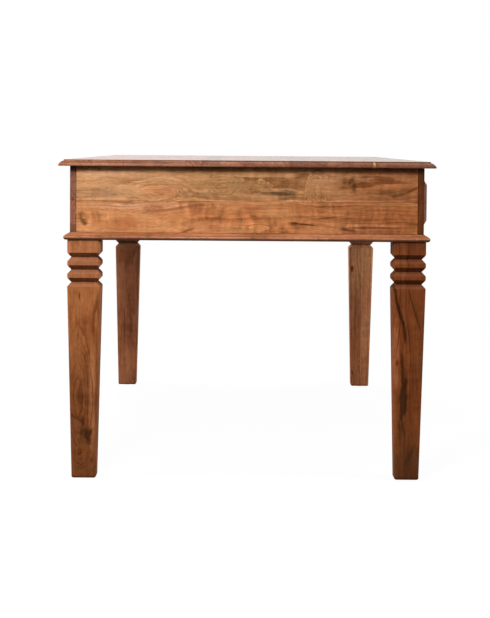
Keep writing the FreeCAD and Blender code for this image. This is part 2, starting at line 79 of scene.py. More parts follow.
def calc(tree, operation, first, second=None, third=None, clamp=False):
    node = addNode(tree, "ShaderNodeMath", operation=operation, use_clamp=clamp)
    for index, value in enumerate((first, second, third)):
        put(tree, node.inputs[index], value)
    return node.outputs[0]


def vectorCalc(tree, operation, first, second=None, output="Vector"):
    node = addNode(tree, "ShaderNodeVectorMath", operation=operation)
    put(tree, node.inputs[0], first)
    put(tree, node.inputs[1], second)
    return node.outputs[output]


def splitUp(tree, vector):
    return addNode(tree, "ShaderNodeSeparateXYZ", {"Vector": vector}).outputs


def joinUp(tree, **parts):
    return addNode(tree, "ShaderNodeCombineXYZ", parts).outputs[0]


# a value moved from one span to another, with soft ends
def span(tree, value, low, high, start=0.0, end=1.0):
    return addNode(
        tree, "ShaderNodeMapRange",
        {"Value": value, "From Min": low, "From Max": high, "To Min": start, "To Max": end},
        interpolation_type="SMOOTHSTEP",
    ).outputs["Result"]


# nought up to the limit, then a steep rise to one
def above(tree, value, limit, steepness):
    return calc(tree, "MULTIPLY", calc(tree, "SUBTRACT", value, limit), steepness, clamp=True)


# noise lies about a half; this sets it about nought
def centred(tree, value):
    return calc(tree, "SUBTRACT", value, 0.5)


# a start value plus each mask times its share
def addShares(tree, start, shares, clamp=False):
    total = start
    for mask, share in shares:
        total = calc(tree, "MULTIPLY_ADD", mask, share, total, clamp=clamp)
    return total


def mixColour(tree, factor, first, second, blend="MIX"):
    node = addNode(tree, "ShaderNodeMix", data_type="RGBA", blend_type=blend)
    for index, value in ((0, factor), (6, first), (7, second)):  # 6 and 7 are the node's colour sockets
        put(tree, node.inputs[index], value)
    return node.outputs[2]


# the second colour laid over the first where the mask is, at a share of full strength
def layOver(tree, first, second, mask, share):
    return mixColour(tree, calc(tree, "MULTIPLY", mask, share), first, second)


def timesColour(tree, first, second):
    return mixColour(tree, 1.0, first, second, "MULTIPLY")


# stretch is turns of the noise per metre along x, y and z
def noise(tree, place, stretch, detail=2.0, roughness=0.5, output="Fac"):
    stretched = vectorCalc(tree, "MULTIPLY", place, stretch)
    return addNode(
        tree, "ShaderNodeTexNoise",
        {"Vector": stretched, "Scale": 1.0, "Detail": detail, "Roughness": roughness},
    ).outputs[output]


# a fixed random draw for each number
def draw(tree, number, output):
    return addNode(tree, "ShaderNodeTexWhiteNoise", {"W": number}, noise_dimensions="1D").outputs[output]


def newGroup(name, inputs, outputs, kind="ShaderNodeTree"):
    group = bpy.data.node_groups.new(name, kind)
    for way, sockets in (("INPUT", inputs), ("OUTPUT", outputs)):
        for label, holds in sockets.items():
            group.interface.new_socket(label, in_out=way, socket_type=f"NodeSocket{holds}")
    return group, group.nodes.new("NodeGroupInput").outputs, group.nodes.new("NodeGroupOutput").inputs


def useGroup(tree, group, **inputs):
    return addNode(tree, "ShaderNodeGroup", inputs, node_tree=group).outputs


# growth rings round a heart line that wanders along the board; late wood is the dark part of each ring
ringGrain = {
    "drift": (1.7, 1, 1), "waver": (7, 30, 30), "lateRise": (0.1, 0.8), "lateFall": (1.0, 0.82),
    "lateShare": (0.15, 1), "fade": (6, 24, 24), "fadeSpan": (0.36, 0.62), "fadeShare": (0.2, 1), "bandScale": 0.31,
}


def makeRingGroup():
    group, given, result = newGroup(
        "growthRings",
        {"Place": "Vector", "RingWidth": "Float", "Wander": "Float", "Warp": "Float", "Bulge": "Float"},
        {"LateWood": "Float", "Band": "Float"},
    )
    place = given["Place"]
    along = splitUp(group, place)
    onGrain = vectorCalc(group, "MULTIPLY", place, (1, 0, 0))
    drift = noise(group, onGrain, ringGrain["drift"], detail=1.5, output="Color")
    drift = splitUp(group, vectorCalc(group, "SUBTRACT", drift, (0.5, 0.5, 0.5)))
    reach = calc(group, "MULTIPLY", given["Wander"], 2.0)  # noise reaches half a unit each way
    across = calc(group, "MULTIPLY_ADD", drift["X"], reach, along["Y"])
    depth = calc(group, "MULTIPLY_ADD", drift["Y"], reach, along["Z"])
    radius = vectorCalc(group, "LENGTH", joinUp(group, Y=across, Z=depth), output="Value")
    waver = centred(group, noise(group, place, ringGrain["waver"], detail=3.0))
    radius = calc(group, "MULTIPLY_ADD", waver, calc(group, "MULTIPLY", given["Warp"], 2.0), radius)
    ring = calc(group, "ADD", calc(group, "DIVIDE", radius, given["RingWidth"]), given["Bulge"])
    turn = calc(group, "FRACT", ring)
    late = span(group, turn, *ringGrain["lateRise"])
    late = calc(group, "MULTIPLY", late, span(group, turn, *ringGrain["lateFall"]))
    strength = draw(group, calc(group, "FLOOR", ring), "Value")
    late = calc(group, "MULTIPLY", late, span(group, strength, 0, 1, *ringGrain["lateShare"]))
    fade = noise(group, place, ringGrain["fade"])  # rings come and go
    fade = span(group, fade, *ringGrain["fadeSpan"], *ringGrain["fadeShare"])
    put(group, result["LateWood"], calc(group, "MULTIPLY", late, fade))
    band = addNode(
        group, "ShaderNodeTexNoise", {"W": ring, "Scale": ringGrain["bandScale"], "Detail": 2.0},
        noise_dimensions="1D",
    )
    put(group, result["Band"], band.outputs["Fac"])
    return group


# fibres, wavy streaks, open pores, ripples across the grain, fine mottle and slow clouds of colour
fibreGrain = {
    "fibre": (11, 380, 380), "sway": (16, 22, 22), "waveSway": (0.0, 0.03, 0.03), "wave": (7, 150, 150),
    "pore": (95, 1400, 1400), "crowd": (5, 45, 45), "crowdSpan": (0.3, 0.7), "poreLimit": (0.7, 0.6),
    "poreSteepness": 14.0, "curlSway": (0.03, 0.0, 0.0), "curl": (75, 20, 20), "patch": (7, 22, 22),
    "patchSpan": (0.42, 0.62), "patchShare": (0.35, 1.7), "mottle": (60, 120, 120), "cloud": (6, 21, 21),
}


def makeFibreGroup():
    group, given, result = newGroup(
        "woodFibre",
        {"Place": "Vector"},
        {label: "Float" for label in ("Fibre", "Wave", "Pores", "Ripple", "Mottle", "Cloud")},
    )
    place = given["Place"]
    put(group, result["Fibre"], noise(group, place, fibreGrain["fibre"], detail=4.0, roughness=0.6))
    sway = noise(group, place, fibreGrain["sway"], output="Color")
    sway = vectorCalc(group, "SUBTRACT", sway, (0.5, 0.5, 0.5))
    swayed = vectorCalc(group, "ADD", place, vectorCalc(group, "MULTIPLY", sway, fibreGrain["waveSway"]))
    put(group, result["Wave"], noise(group, swayed, fibreGrain["wave"], detail=3.0, roughness=0.6))
    pore = noise(group, place, fibreGrain["pore"], detail=0.5)
    crowd = noise(group, place, fibreGrain["crowd"], detail=1.0)
    limit = span(group, crowd, *fibreGrain["crowdSpan"], *fibreGrain["poreLimit"])
    put(group, result["Pores"], above(group, pore, limit, fibreGrain["poreSteepness"]))
    leant = vectorCalc(group, "ADD", place, vectorCalc(group, "MULTIPLY", sway, fibreGrain["curlSway"]))
    curl = centred(group, noise(group, leant, fibreGrain["curl"], roughness=0.55))
    patch = noise(group, place, fibreGrain["patch"], detail=1.0)
    patch = span(group, patch, *fibreGrain["patchSpan"], *fibreGrain["patchShare"])
    put(group, result["Ripple"], calc(group, "MULTIPLY_ADD", curl, patch, 0.5))
    put(group, result["Mottle"], noise(group, place, fibreGrain["mottle"], detail=3.0, roughness=0.65))
    put(group, result["Cloud"], noise(group, place, fibreGrain["cloud"], detail=3.0, roughness=0.6))
    return group


# one mark of the figure: an eye, a knot, a stain or a dark streak; some marks are painted highlights and painted
# shadows
markTear = (38, 130, 130)


def makeMarkGroup():
    group, given, result = newGroup(
        "figureMark",
        {"Place": "Vector", "Centre": "Vector", "Length": "Float", "Width": "Float", "Lean": "Float",
         "Ragged": "Float", "Core": "Float"},
        {"Mask": "Float"},
    )
    off = splitUp(group, vectorCalc(group, "SUBTRACT", given["Place"], given["Centre"]))
    along = calc(group, "DIVIDE", off["X"], given["Length"])
    across = calc(group, "SUBTRACT", off["Y"], calc(group, "MULTIPLY", off["X"], given["Lean"]))
    across = calc(group, "DIVIDE", across, given["Width"])
    reach = vectorCalc(group, "LENGTH", joinUp(group, X=along, Y=across), output="Value")
    tear = centred(group, noise(group, given["Place"], markTear, detail=3.0))
    reach = calc(group, "MULTIPLY_ADD", tear, calc(group, "MULTIPLY", given["Ragged"], 2.0), reach)
    put(group, result["Mask"], span(group, reach, 1.0, given["Core"]))
    return group


# rubbed arrises with a painted highlight, and darkening in corners: painted shade on wood, patina on fittings
wearHighlightShadeFeel = {"samples": 4, "patch": (60, 60, 60), "patchSpan": (0.3, 0.7), "edgeGain": 7.0, "grimeAndShadeSpan": (0.85, 0.25)}


def makeWearHighlightShadeGroup():
    group, given, result = newGroup(
        "edgeWearHighlightShade",
        {"Place": "Vector", "Radius": "Float", "Reach": "Float"},
        {"EdgeWearAndHighlight": "Float", "GrimeAndShade": "Float", "Normal": "Vector"},
    )
    samples = wearHighlightShadeFeel["samples"]
    soft = addNode(group, "ShaderNodeBevel", {"Radius": given["Radius"]}, samples=samples).outputs["Normal"]
    flat = addNode(group, "ShaderNodeNewGeometry").outputs["Normal"]
    turned = calc(group, "SUBTRACT", 1.0, vectorCalc(group, "DOT_PRODUCT", soft, flat, "Value"))
    turned = calc(group, "MULTIPLY", turned, wearHighlightShadeFeel["edgeGain"], clamp=True)
    patch = span(group, noise(group, given["Place"], wearHighlightShadeFeel["patch"], detail=3.0), *wearHighlightShadeFeel["patchSpan"])
    put(group, result["EdgeWearAndHighlight"], calc(group, "MULTIPLY", turned, patch))
    exposed = addNode(
        group, "ShaderNodeAmbientOcclusion", {"Distance": given["Reach"]}, samples=samples, only_local=False
    ).outputs["AO"]
    put(group, result["GrimeAndShade"], span(group, exposed, *wearHighlightShadeFeel["grimeAndShadeSpan"]))
    put(group, result["Normal"], soft)
    return group


# dulled patches, fine scratches and grit of handled metal and plastic
ageFeel = {
    "dull": (170, 170, 170), "dullSpan": (0.38, 0.66), "scratch": (240, 2600, 1900), "scratchLimit": 0.64,
    "scratchSteepness": 12.0, "grit": (1500, 1500, 1500),
}


def makeAgeGroup():
    group, given, result = newGroup(
        "handledSurface", {"Place": "Vector"}, {"Dull": "Float", "Scratch": "Float", "Grit": "Float"}
    )
    dull = noise(group, given["Place"], ageFeel["dull"], detail=4.0, roughness=0.6)
    put(group, result["Dull"], span(group, dull, *ageFeel["dullSpan"]))
    scratch = noise(group, given["Place"], ageFeel["scratch"], detail=1.0)
    put(group, result["Scratch"], above(group, scratch, ageFeel["scratchLimit"], ageFeel["scratchSteepness"]))
    put(group, result["Grit"], noise(group, given["Place"], ageFeel["grit"]))
    return group


ringGroup = makeRingGroup()
fibreGroup = makeFibreGroup()
markGroup = makeMarkGroup()
wearHighlightShadeGroup = makeWearHighlightShadeGroup()
ageGroup = makeAgeGroup()
print("node groups ready")


def newMaterial(name):
    material = bpy.data.materials.new(name)
    material.use_nodes = True
    return material, material.node_tree, material.node_tree.nodes["Principled BSDF"]


def addRelief(tree, shader, height, strength, depth, normal):
    bump = addNode(
        tree, "ShaderNodeBump", {"Strength": strength, "Distance": depth, "Height": height, "Normal": normal}
    )
    put(tree, shader.inputs["Normal"], bump.outputs["Normal"])


# how far each stave's figure is moved from its neighbour's, and how wide the glue line is
staveFeel = {"shuffle": 91.7, "slide": 9.0, "aside": 0.09, "depth": (0.02, 0.11), "glueLine": (0.0009, 0.0001)}


# boards glued side by side; each stave is (upper limit across the piece, how dark), the last has no limit
def glueStaves(tree, board, staves):
    reach = 0.5  # the ramp covers a metre
    ramp = addNode(tree, "ShaderNodeValToRGB")
    ramp.color_ramp.interpolation = "CONSTANT"
    stops = ramp.color_ramp.elements
    while len(stops) > 1:
        stops.remove(stops[-1])
    start = -reach
    for index, (limit, shade) in enumerate(staves):
        stop = stops[0] if index == 0 else stops.new(start + reach)
        stop.position = start + reach
        end = reach if limit is None else limit
        stop.color = (shade, (start + end) / 2 + reach, 0, 1)
        start = end
    part = splitUp(tree, board)
    put(tree, ramp.inputs["Fac"], calc(tree, "ADD", part["Y"], reach))
    stave = splitUp(tree, ramp.outputs["Color"])
    middle = calc(tree, "SUBTRACT", stave["Y"], reach)
    chance = splitUp(tree, draw(tree, calc(tree, "MULTIPLY", middle, staveFeel["shuffle"]), "Color"))
    aside = calc(tree, "MULTIPLY", centred(tree, chance["Y"]), staveFeel["aside"])
    place = joinUp(
        tree,
        X=calc(tree, "MULTIPLY_ADD", chance["X"], staveFeel["slide"], part["X"]),
        Y=calc(tree, "ADD", calc(tree, "SUBTRACT", part["Y"], middle), aside),
        Z=calc(tree, "ADD", part["Z"], span(tree, chance["Z"], 0, 1, *staveFeel["depth"])),
    )
    gap = None
    for limit, _ in staves[:-1]:
        off = calc(tree, "ABSOLUTE", calc(tree, "SUBTRACT", part["Y"], limit))
        gap = calc(tree, "MINIMUM", gap, off) if gap else off
    return place, stave["X"], span(tree, gap, *staveFeel["glueLine"])


# spans and shares that are alike in every wood
woodFeel = {
    "cloudSpan": (0.32, 0.68), "bandSpan": (0.52, 0.76), "endSpan": (0.5, 0.95), "ledgeSpan": (0.25, 0.6),
    "underFade": 0.5, "glueShare": 0.6, "ledgeShare": 0.25, "fibreRough": 0.16, "poreRough": 0.15, "endRough": 0.12,
    "underRough": 0.3, "fibreHeight": 0.5, "poreHeight": -1.0, "lateHeight": 0.25, "depth": 0.0004,
}


# one board's wood; look holds its tones and figure, marks its features
def woodMaterial(name, look, turn, heart, marks=(), staves=()):
    material, tree, shader = newMaterial(name)
    raw = addNode(tree, "ShaderNodeTexCoord").outputs
    angles = [math.radians(angle) for angle in grainTurn[turn]]
    board = addNode(
        tree, "ShaderNodeMapping", {"Vector": raw["Object"], "Location": heart, "Rotation": angles},
        vector_type="TEXTURE",
    ).outputs["Vector"]
    place, shade, seam = glueStaves(tree, board, staves) if staves else (board, None, None)
    fromBoard = Euler(angles).to_matrix()
    masks = []
    bulge = None
    for feature in marks:
        mask = useGroup(
            tree, markGroup, Place=board, Centre=fromBoard.transposed() @ (Vector(feature["at"]) - heart),
            Length=feature["length"], Width=feature["width"], Lean=feature["lean"], Ragged=feature["ragged"],
            Core=feature["core"],
        )["Mask"]
        masks.append((feature, mask))
        if feature["rings"]:
            swell = calc(tree, "MULTIPLY", mask, feature["rings"])
            bulge = calc(tree, "ADD", bulge, swell) if bulge else swell
    rings = useGroup(
        tree, ringGroup, Place=place, RingWidth=look["ringWidth"], Wander=look["wander"], Warp=look["warp"],
        Bulge=bulge,
    )
    fibre = useGroup(tree, fibreGroup, Place=place)
    wearAndHighlight = useGroup(tree, wearHighlightShadeGroup, Place=board, Radius=look["wearAndHighlightRadius"], Reach=look["grimeAndShadeReach"])

    cloud = span(tree, fibre["Cloud"], *woodFeel["cloudSpan"])
    colour = mixColour(tree, cloud, tone(*look["pale"]), tone(*look["body"]))
    if shade:
        colour = mixColour(tree, shade, colour, tone(*look["dark"]))
    banding = span(tree, rings["Band"], *woodFeel["bandSpan"], end=look["streaks"])
    colour = mixColour(tree, banding, colour, tone(*look["streak"]))
    for feature, mask in masks:
        colour = layOver(tree, colour, tone(*feature["tone"]), mask, feature["strength"])
    darker = timesColour(tree, colour, tone(*look["lateTone"]))
    colour = layOver(tree, colour, darker, rings["LateWood"], look["contrast"])
    uneven = [(centred(tree, fibre[part]), look[part.lower()]) for part in ("Fibre", "Wave", "Ripple", "Mottle")]
    colour = timesColour(tree, colour, addShares(tree, 1.0, uneven))
    poreAndShadeTone = tone(*look["poreAndShadeTone"])
    colour = layOver(tree, colour, poreAndShadeTone, fibre["Pores"], look["pores"])
    if seam:
        colour = layOver(tree, colour, poreAndShadeTone, seam, woodFeel["glueShare"])
    grainWay = fromBoard @ Vector((1, 0, 0))
    facing = calc(tree, "ABSOLUTE", vectorCalc(tree, "DOT_PRODUCT", raw["Normal"], grainWay, "Value"))
    endGrain = span(tree, facing, *woodFeel["endSpan"])
    colour = mixColour(tree, endGrain, colour, timesColour(tree, colour, tone(*look["endTone"])))
    # painted shade: faces that look down are darkened toward the pore tone
    faceUp = splitUp(tree, raw["Normal"])["Z"]
    soffitShade = span(tree, faceUp, look["underFrom"], look["underFrom"] - woodFeel["underFade"])
    soffitShade = calc(tree, "MULTIPLY", soffitShade, look["under"])
    colour = mixColour(tree, soffitShade, colour, poreAndShadeTone)
    # painted light: faces that look up are paled toward the ledge tone
    ledge = calc(tree, "MULTIPLY", span(tree, faceUp, *woodFeel["ledgeSpan"]), look["ledge"])
    colour = layOver(tree, colour, tone(*look["ledgeTone"]), ledge, woodFeel["ledgeShare"])
    # arrises paled: partly rubbed wear, partly a painted highlight
    wornAndLit = timesColour(tree, colour, look["wearAndHighlightGain"])
    colour = layOver(tree, colour, wornAndLit, wearAndHighlight["EdgeWearAndHighlight"], look["wearAndHighlight"])
    # painted shade in creases and corners, where ambient occlusion finds little open space
    creaseShaded = timesColour(tree, colour, tone(*look["creaseShadeTone"]))
    creaseShadeShare = calc(tree, "MULTIPLY_ADD", ledge, -look["creaseShade"], look["creaseShade"])  # ledges that face up get less of the painted shade
    colour = layOver(tree, colour, creaseShaded, wearAndHighlight["GrimeAndShade"], creaseShadeShare)
    put(tree, shader.inputs["Base Color"], colour)

    rough = addShares(
        tree, look["roughness"],
        [(fibre["Fibre"], woodFeel["fibreRough"]), (fibre["Pores"], woodFeel["poreRough"]),
         (endGrain, woodFeel["endRough"]), (soffitShade, woodFeel["underRough"])],
        clamp=True,
    )
    put(tree, shader.inputs["Roughness"], rough)
    height = addShares(
        tree, 0.0,
        [(fibre["Fibre"], woodFeel["fibreHeight"]), (fibre["Pores"], woodFeel["poreHeight"]),
         (rings["LateWood"], woodFeel["lateHeight"])],
    )
    addRelief(tree, shader, height, look["relief"], woodFeel["depth"], wearAndHighlight["Normal"])
    shader.inputs["Specular IOR Level"].default_value = look["shine"]
    polish = look["lacquer"]
    if polish and look["under"]:  # undersides aren't polished
        polish = calc(tree, "MULTIPLY_ADD", soffitShade, -polish, polish)
    put(tree, shader.inputs["Coat Weight"], polish)
    shader.inputs["Coat Roughness"].default_value = look["lacquerRoughness"]
    return material


def dress(node, material):
    slots = deskNodes[node].data.materials
    slots.clear()
    slots.append(material)


def middleOf(node):
    low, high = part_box(node)
    return (low + high) / 2


# the heart of the log lies beside the board, at this offset from its middle
def heartOf(node, offset):
    return middleOf(node) + Vector(offset)


# a mark for woodMaterial: half its length and half its width, its slope on the board, how many growth rings
# it bulges by, how torn its edge is and how much of it is at full strength
def mark(at, size, colour, strength, lean=0.0, rings=0.0, ragged=0.3, core=0.25):
    return {
        "at": at, "length": size[0], "width": size[1], "tone": colour, "strength": strength, "lean": lean,
        "rings": rings, "ragged": ragged, "core": core,
    }


# what all boards share where their own look doesn't say otherwise
woodLook = {
    "ringWidth": 0.0085, "wander": 0.03, "warp": 0.009, "contrast": 0.7, "lateTone": (170, 150, 132),
    "streaks": 0.45, "fibre": 0.7, "wave": 0.6, "ripple": 0.4, "mottle": 0.55, "pores": 0.45,
    "poreAndShadeTone": (50, 28, 16), "endTone": (190, 166, 154), "wearAndHighlight": 0.35, "wearAndHighlightGain": (1.4, 1.34, 1.28, 1),
    "wearAndHighlightRadius": 0.002, "creaseShade": 0.95, "creaseShadeTone": (46, 32, 26), "grimeAndShadeReach": 0.022, "roughness": 0.42,
    "relief": 0.35, "shine": 0.08, "lacquer": 0.0, "lacquerRoughness": 0.25, "under": 0.0,
    "underFrom": -0.15, "ledge": 0.0, "ledgeTone": (200, 156, 132),
}

# the two boards of the ends; the near end carries the marks of the photographed one
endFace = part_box("left_end_upper_board")[0].x
# the upper boards take the painted crease shade at full strength, reaching farthest under the top
endUpperLook = {
    **woodLook, "pale": (204, 150, 104), "body": (180, 126, 80), "streak": (132, 96, 62), "wearAndHighlightRadius": 0.0005,
    "creaseShade": 1.0, "grimeAndShadeReach": 0.03, "wave": 0.75, "contrast": 0.8, "streaks": 0.25, "ripple": 0.6,
}
endLowerLook = {
    **woodLook, "pale": (202, 138, 90), "body": (186, 118, 72), "streak": (156, 86, 48), "ringWidth": 0.006,
    "wave": 0.7, "ripple": 0.9, "mottle": 0.5, "wearAndHighlightRadius": 0.0005, "creaseShade": 0.3,
}
endUpperMarks = [
    # painted light: paler just below the shadow of the top
    mark((endFace, 0.340, 0.737), (0.130, 0.015), (226, 172, 132), 0.55),
    # darker, redder front half: partly the wood, partly painted shade where less light falls
    mark((endFace, -0.400, 0.712), (0.340, 0.120), (146, 82, 45), 0.75),
    mark((endFace, 0.030, 0.712), (0.190, 0.040), (154, 110, 66), 0.6),
    mark((endFace, -0.060, 0.729), (0.430, 0.014), (222, 166, 120), 0.25, core=0.4),  # painted light along the top
    # painted light along the top
    mark((endFace, -0.110, 0.724), (0.120, 0.020), (222, 166, 120), 0.2),
    mark((endFace, -0.040, 0.686), (0.420, 0.012), (124, 80, 48), 0.16, core=0.4),
    mark((endFace, 0.350, 0.690), (0.090, 0.017), (150, 112, 80), 0.6),
    mark((endFace, 0.148, 0.689), (0.040, 0.012), (136, 98, 64), 0.4),
    mark((endFace, 0.100, 0.690), (0.050, 0.014), (212, 158, 110), 0.35),
    mark((endFace, -0.078, 0.716), (0.045, 0.014), (208, 150, 98), 0.5),
    mark((endFace, -0.330, 0.716), (0.060, 0.014), (196, 124, 80), 0.5),
    mark((endFace, 0.060, 0.712), (0.060, 0.034), (178, 132, 84), 0.2, rings=4.0, ragged=0.25, core=0.0),
    mark((endFace, -0.020, 0.708), (0.044, 0.020), (150, 104, 62), 0.2, rings=1.6, ragged=0.8),
    mark((endFace, 0.215, 0.698), (0.105, 0.034), (204, 146, 100), 0.4, rings=2.4, ragged=0.2),  # long eye
    mark((endFace, 0.205, 0.694), (0.055, 0.017), (198, 128, 84), 0.75, rings=1.6, ragged=0.15),
    mark((endFace, -0.088, 0.690), (0.046, 0.014), (84, 60, 42), 0.75, ragged=0.8),
    mark((endFace, -0.050, 0.694), (0.046, 0.004), (100, 74, 54), 0.6, ragged=0.6),
    mark((endFace, -0.168, 0.706), (0.034, 0.048), (158, 104, 62), 0.25, rings=5.0, ragged=0.25, core=0.0),  # curl
    mark((endFace, -0.245, 0.716), (0.036, 0.024), (120, 80, 42), 0.5, ragged=0.6),
    mark((endFace, -0.247, 0.721), (0.010, 0.012), (86, 50, 24), 0.75, lean=-0.8, rings=1.2, ragged=0.7),
    mark((endFace, -0.256, 0.708), (0.008, 0.013), (92, 54, 28), 0.65, ragged=0.7),
    mark((endFace, -0.340, 0.694), (0.050, 0.010), (106, 72, 40), 0.6, ragged=0.6),
    mark((endFace, -0.362, 0.690), (0.030, 0.006), (82, 54, 28), 0.75, lean=-0.2, ragged=0.6),
    mark((endFace, -0.393, 0.701), (0.026, 0.005), (96, 58, 28), 0.75, lean=-0.5),
]
endLowerMarks = [
    # darker, redder front half: partly the wood, partly painted shade where less light falls
    mark((endFace, -0.380, 0.630), (0.320, 0.090), (146, 82, 42), 0.65),
    mark((endFace, 0.260, 0.660), (0.200, 0.012), (228, 172, 134), 0.42),
    mark((endFace, -0.140, 0.660), (0.300, 0.012), (124, 72, 42), 0.25),
    mark((endFace, -0.285, 0.612), (0.100, 0.022), (214, 146, 100), 0.32),
    mark((endFace, 0.287, 0.622), (0.036, 0.022), (168, 96, 58), 0.55),
    mark((endFace, 0.220, 0.652), (0.036, 0.020), (164, 96, 60), 0.6),
    mark((endFace, 0.120, 0.653), (0.030, 0.020), (154, 88, 54), 0.55),
    mark((endFace, -0.010, 0.652), (0.040, 0.018), (152, 84, 50), 0.55),
    mark((endFace, 0.388, 0.618), (0.022, 0.018), (214, 154, 100), 0.5, rings=2.2),
    mark((endFace, 0.389, 0.619), (0.009, 0.012), (96, 58, 36), 0.75, lean=0.6, ragged=0.6),  # knot
    mark((endFace, 0.397, 0.628), (0.006, 0.010), (116, 70, 42), 0.55, lean=1.0, ragged=0.6),
    mark((endFace, 0.141, 0.602), (0.020, 0.005), (108, 58, 32), 0.7, lean=-0.3, ragged=0.5),
    mark((endFace, -0.030, 0.608), (0.050, 0.012), (216, 150, 94), 0.4, rings=1.8),
    mark((endFace, -0.110, 0.620), (0.016, 0.006), (70, 40, 22), 0.8, ragged=0.5),
    mark((endFace, -0.140, 0.618), (0.045, 0.003), (76, 42, 22), 0.8, lean=0.11, core=0.4),
    mark((endFace, -0.190, 0.634), (0.060, 0.003), (104, 58, 32), 0.65, lean=-0.1),
    mark((endFace, -0.235, 0.607), (0.034, 0.006), (92, 48, 26), 0.75, lean=0.15, ragged=0.6),
    mark((endFace, -0.300, 0.632), (0.120, 0.004), (124, 64, 34), 0.65),
    mark((endFace, -0.310, 0.611), (0.120, 0.003), (104, 52, 28), 0.7),
    mark((endFace, -0.340, 0.652), (0.080, 0.004), (128, 70, 38), 0.6),
    mark((endFace, -0.300, 0.621), (0.100, 0.002), (110, 56, 30), 0.6),
]
for side, inward in (("left", 0.055), ("right", -0.055)):
    for level, look, rise, marks in (
        ("upper", endUpperLook, 0.012, endUpperMarks), ("lower", endLowerLook, -0.03, endLowerMarks),
    ):
        node = f"{side}_end_{level}_board"
        heart = heartOf(node, (inward, 0, rise))
        dress(node, woodMaterial(node, look, "crosswiseUpright", heart, marks if side == "left" else ()))

backLook = {**endUpperLook, "pale": (194, 132, 88), "body": (168, 106, 66), "endTone": (206, 204, 232)}
backUpperMarks = [  # in the end grain: a darker streak, and a painted shadow under the top
    mark((endFace, 0.430, 0.710), (0.012, 0.060), (112, 72, 60), 0.4, core=0.7),
    mark((endFace, 0.430, 0.752), (0.012, 0.014), (34, 26, 28), 0.6, core=0.4),
]
backLowerMarks = [
    mark((endFace, 0.430, 0.630), (0.012, 0.014), (192, 138, 106), 0.4),
    mark((endFace, 0.430, 0.605), (0.012, 0.013), (92, 56, 44), 0.55, core=0.5),
]
for level, rise, marks in (("upper", 0.02, backUpperMarks), ("lower", -0.015, backLowerMarks)):
    node = f"back_{level}_board"
    heart = heartOf(node, (0.3, -0.06, rise))
    dress(node, woodMaterial(node, backLook, "lengthwiseUpright", heart, marks))

# the top is glued up from narrow staves of mixed shades
topLook = {
    **woodLook, "pale": (190, 136, 104), "body": (164, 106, 76), "dark": (84, 44, 22), "streak": (92, 50, 30),
    "ripple": 0.15, "endTone": (214, 194, 180), "roughness": 0.1, "shine": 0.19,
}
topStaves = [
    (-0.370, 0.7), (-0.310, 0.65), (-0.251, 0.6), (-0.189, 0.55), (-0.153, 0.65), (-0.104, 0.68),
    (-0.063, 0.5), (0.006, 0.47), (0.063, 0.42), (0.108, 0.62), (0.146, 0.25), (0.220, 0.3), (0.295, 0.33),
    (0.370, 0.1), (None, 0.12),
]
topMarks = [
    mark((-0.905, -0.3022, 0.762), (0.045, 0.0044), (204, 158, 108), 0.58, ragged=0.1, core=0.5),  # sapwood
    mark((-0.900, 0.30, 0.762), (0.0026, 0.35), (198, 144, 116), 0.4, ragged=0.2, core=0.5),  # painted highlight on the nose
    mark((-0.8930, 0.34, 0.762), (0.0050, 0.28), (94, 54, 38), 0.75, core=0.5),  # darker in the slope at the left end
]
topWood = woodMaterial("desk_top", topLook, "lengthwiseFlat", middleOf("desk_top"), topMarks, topStaves)
dress("desk_top", topWood)

# on the mouldings the strong paling of the nose is a painted highlight, and the undercut gets painted shade
mouldingLook = {
    **woodLook, "pale": (174, 113, 77), "body": (147, 88, 54), "streak": (90, 46, 28),
    "ringWidth": 0.006, "wave": 0.8, "shine": 0.15, "lacquer": 0.3, "lacquerRoughness": 0.18, "wearAndHighlight": 1.0,
    "wearAndHighlightGain": (1.9, 1.85, 1.9, 1), "wearAndHighlightRadius": 0.004, "creaseShade": 0.3, "under": 0.65, "underFrom": 0.1,
}
mouldingMarks = [
    mark((-0.8805, -0.220, 0.59), (0.220, 0.0065), (212, 146, 98), 0.3, ragged=0.2, core=0.5),  # paler stretch
    mark((-0.8858, 0.150, 0.59), (0.300, 0.0011), (110, 58, 38), 0.65, ragged=0.4, core=0.5),  # darker line above the nose
    mark((-0.8858, -0.330, 0.59), (0.120, 0.0009), (120, 66, 40), 0.5, ragged=0.5, core=0.5),
    mark((-0.8890, 0.000, 0.59), (0.900, 0.0018), (200, 142, 110), 0.4, ragged=0.2, core=0.5),  # painted highlight along the nose
]
for side, turn, offset in (
    ("front", "lengthwiseFlat", (0, 0.05, 0.05)), ("back", "lengthwiseFlat", (0, -0.05, 0.05)),
    ("left", "crosswiseFlat", (0.05, 0, 0.05)), ("right", "crosswiseFlat", (-0.05, 0, 0.05)),
):
    node = f"base_{side}_moulding"
    marks = mouldingMarks if side == "left" else ()
    dress(node, woodMaterial(node, mouldingLook, turn, heartOf(node, offset), marks))

# the front frame is of darker boards
frameLook = {**woodLook, "pale": (150, 90, 50), "body": (124, 70, 36), "streak": (66, 36, 18)}
endStileLook = {**frameLook, "pale": (108, 62, 32), "body": (88, 48, 23), "streak": (50, 28, 13)}
stileShadowMarks = [mark((0, -0.44, 0.756), (0.045, 3.0), (26, 16, 10), 0.5, ragged=0.1)]  # painted shadow under the top
for node in ("front_top_rail", "front_bottom_rail"):
    dress(node, woodMaterial(node, frameLook, "lengthwiseUpright", heartOf(node, (0.2, 0.05, 0.02))))
for side in ("left", "right"):
    for kind, look in (("end", endStileLook), ("mid", frameLook)):
        node = f"front_{side}_{kind}_stile"
        heart = heartOf(node, (0.02, 0.06, 0.1))
        dress(node, woodMaterial(node, look, "standingFront", heart, stileShadowMarks if kind == "end" else ()))
print("case and top dressed")

